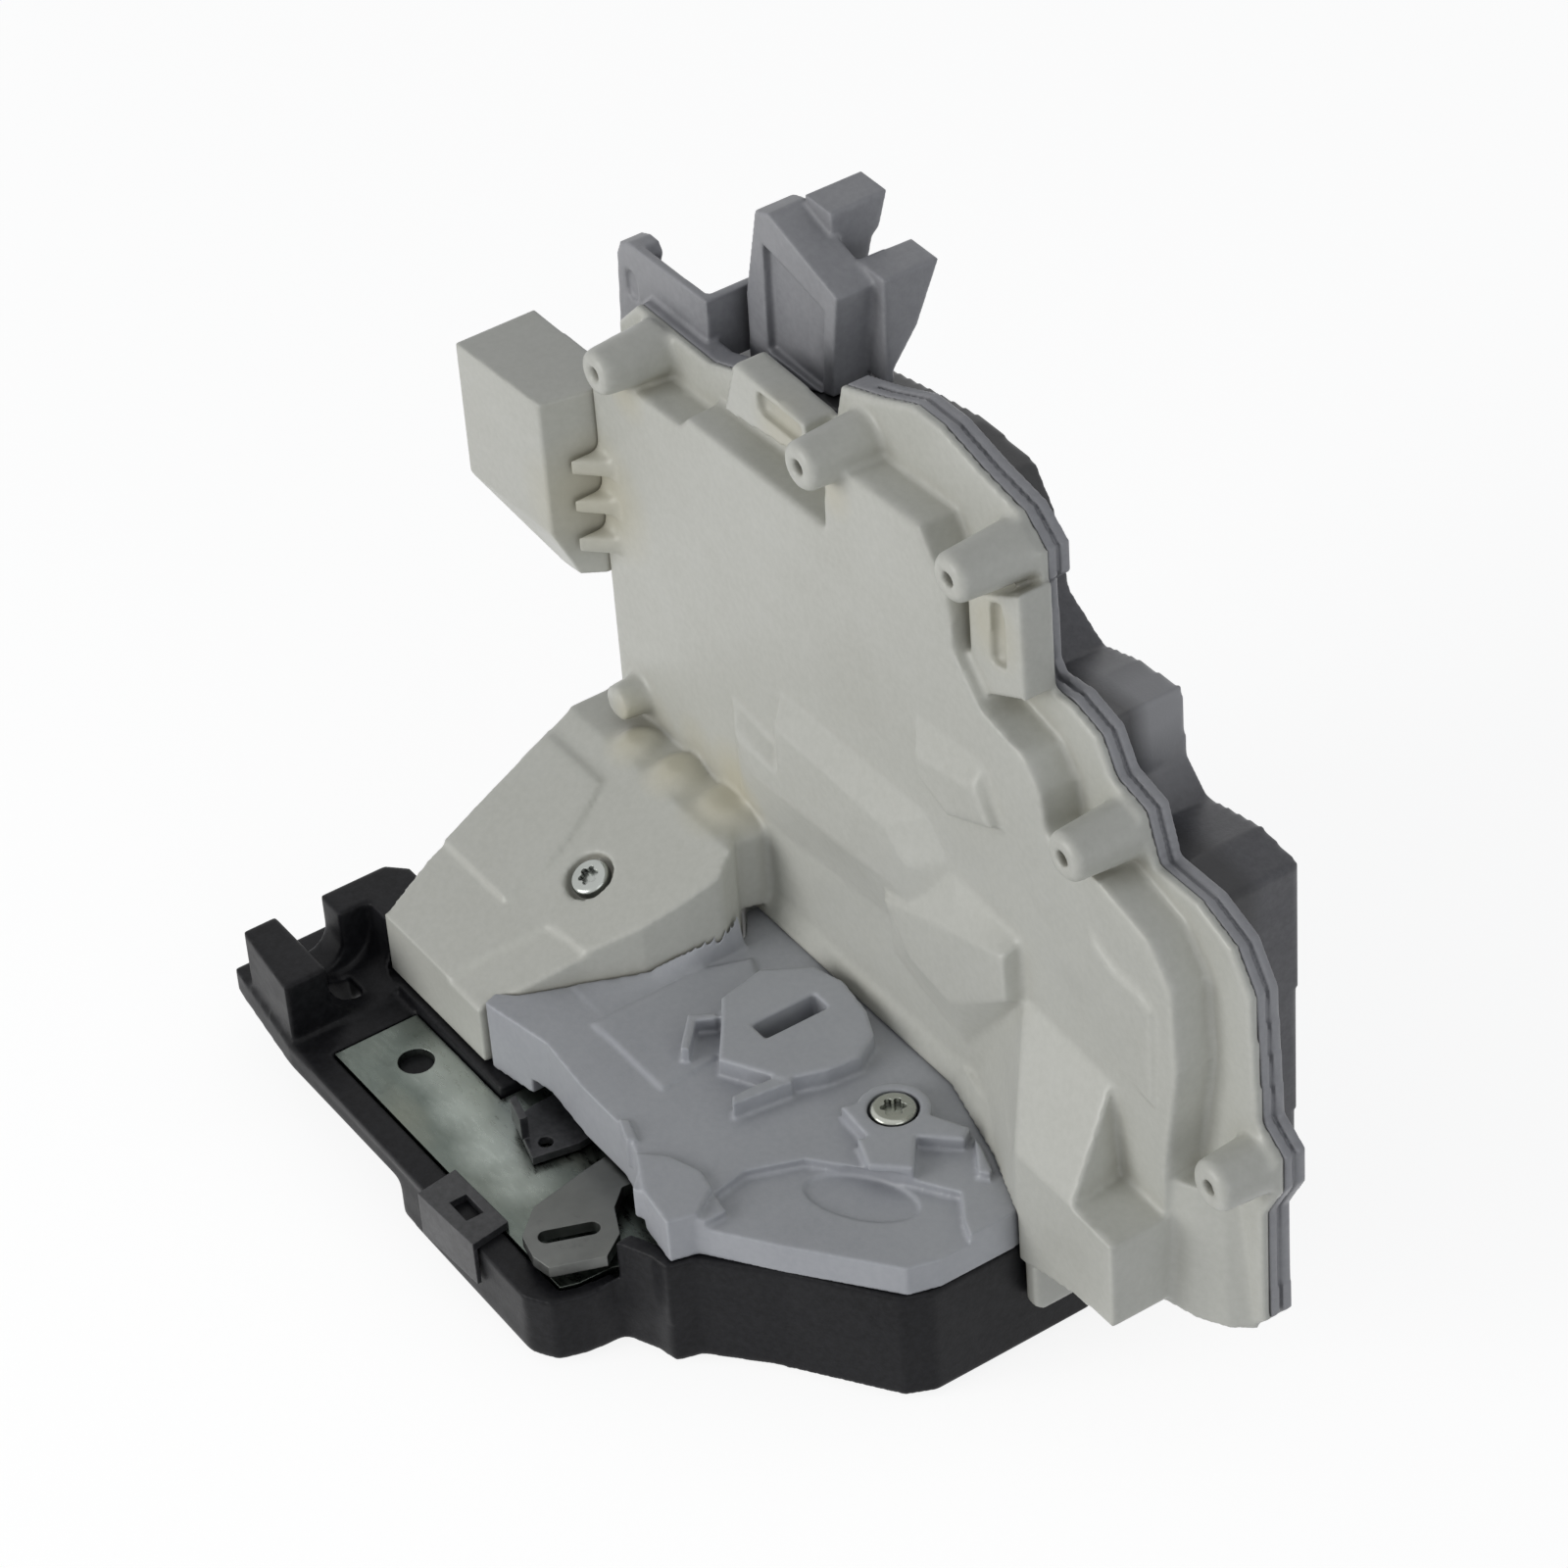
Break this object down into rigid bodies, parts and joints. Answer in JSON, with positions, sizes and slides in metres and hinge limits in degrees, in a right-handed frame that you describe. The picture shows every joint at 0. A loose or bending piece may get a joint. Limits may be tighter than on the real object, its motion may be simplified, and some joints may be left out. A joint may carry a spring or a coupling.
{
  "type": "door latch actuator",
  "caption": "Vehicle door latch with an upright electric lock actuator: catch, pawl and levers in a case, motor drive in a white two-shell wing.",
  "frame": {"origin": "middle of the two fixing threads in the latch face", "axes": "+X along the wing towards its wide end, +Y from the lever side to the wing's back, +Z from the latch face up the wing"},
  "size_m": [0.1814, 0.1044, 0.1435],
  "materials": {
    "black_plastic": "moulded black polyamide, satin",
    "white_plastic": "moulded natural white polymer, satin",
    "grey_plastic": "moulded blue-grey polymer, satin",
    "frame_plastic": "moulded light grey polymer, satin",
    "rear_plastic": "moulded dark grey polymer, satin",
    "jacket_plastic": "overmoulded black plastic",
    "gear_plastic": "natural acetal",
    "zinc_steel": "bright zinc plate with a faint blue-green sheen",
    "screw_zinc": "bright zinc plate",
    "lever_steel": "stamped and tumbled zinc-plated steel",
    "dark_steel": "dark phosphate coat",
    "pin_steel": "turned steel",
    "spring_steel": "oiled spring wire",
    "motor_steel": "drawn plated can",
    "brass": "tinned brass blades",
    "rubber": "soft black elastomer"
  },
  "bodies": {
    "latch_frame": {"latch_case": "black_plastic", "face_plate": "zinc_steel", "back_plate": "zinc_steel", "edge_clip": "dark_steel", "latch_cover": "grey_plastic", "cover_screw": "screw_zinc", "side_screw": "screw_zinc", "actuator_housing": "white_plastic", "connector_housing": "white_plastic", "connector_pins": "brass", "mid_frame": "frame_plastic", "rear_cover": "rear_plastic", "top_bracket": "frame_plastic", "fork_pin": "pin_steel", "pawl_pin": "pin_steel", "lever_pin": "pin_steel", "lock_pin": "pin_steel", "fork_spring": "spring_steel", "pawl_spring": "spring_steel", "striker_bumper": "rubber", "motor": "motor_steel", "gear_pin": "pin_steel", "inner_lever_pin": "pin_steel", "contact_carrier": "black_plastic", "microswitches": "black_plastic"},
    "catch": {"forkbolt": "lever_steel", "fork_jacket": "jacket_plastic"},
    "pawl_body": {"pawl": "lever_steel"},
    "release": {"release_lever": "lever_steel"},
    "coupling": {"coupling_lever": "dark_steel"},
    "worm_body": {"worm": "gear_plastic"},
    "gear_body": {"worm_gear": "gear_plastic"},
    "slider_body": {"lock_slider": "gear_plastic"},
    "inner_release": {"inner_lever": "rear_plastic"}
  },
  "joints": [
    {"name": "catch_pivot", "type": "hinge", "parent": "latch_frame", "child": "catch", "pos_m": [-0.016, 0.017, 0.0055], "axis": [0, 0, -1], "range_deg": [0, 62]},
    {"name": "pawl_pivot", "type": "hinge", "parent": "latch_frame", "child": "pawl_body", "pos_m": [0.015, -0.002, 0.0055], "axis": [0, 0, -1], "range_deg": [0, 8.5]},
    {"name": "release_pivot", "type": "hinge", "parent": "latch_frame", "child": "release", "pos_m": [-0.014, -0.006, 0.0157], "axis": [0, 0, -1], "range_deg": [0, 18]},
    {"name": "gear_spin", "type": "hinge", "parent": "latch_frame", "child": "gear_body", "pos_m": [-0.03614, 0.0412, 0.062], "axis": [0, 1, 0], "range_deg": [0, 70.1]},
    {"name": "worm_spin", "type": "hinge", "parent": "latch_frame", "child": "worm_body", "pos_m": [-0.052, 0.0412, 0.062], "axis": [0, 0, -1], "range_deg": [0, 2100]},
    {"name": "slider_travel", "type": "slide", "parent": "latch_frame", "child": "slider_body", "axis": [0, 0, -1], "range_m": [0, 0.00733]},
    {"name": "coupling_pivot", "type": "hinge", "parent": "latch_frame", "child": "coupling", "pos_m": [-0.031, -0.001, 0.0137], "axis": [0, 0, 1], "range_deg": [0, 15]},
    {"name": "inner_pivot", "type": "hinge", "parent": "latch_frame", "child": "inner_release", "pos_m": [0.012, 0.0592, 0.072], "axis": [0, 1, 0], "range_deg": [0, 25]}
  ],
  "couplings": [
    {"joint": "gear_spin", "follows": "slider_travel", "rad_per_m": 166.67},
    {"joint": "worm_spin", "follows": "slider_travel", "rad_per_m": 5000},
    {"joint": "coupling_pivot", "follows": "slider_travel", "rad_per_m": 35.667}
  ]
}
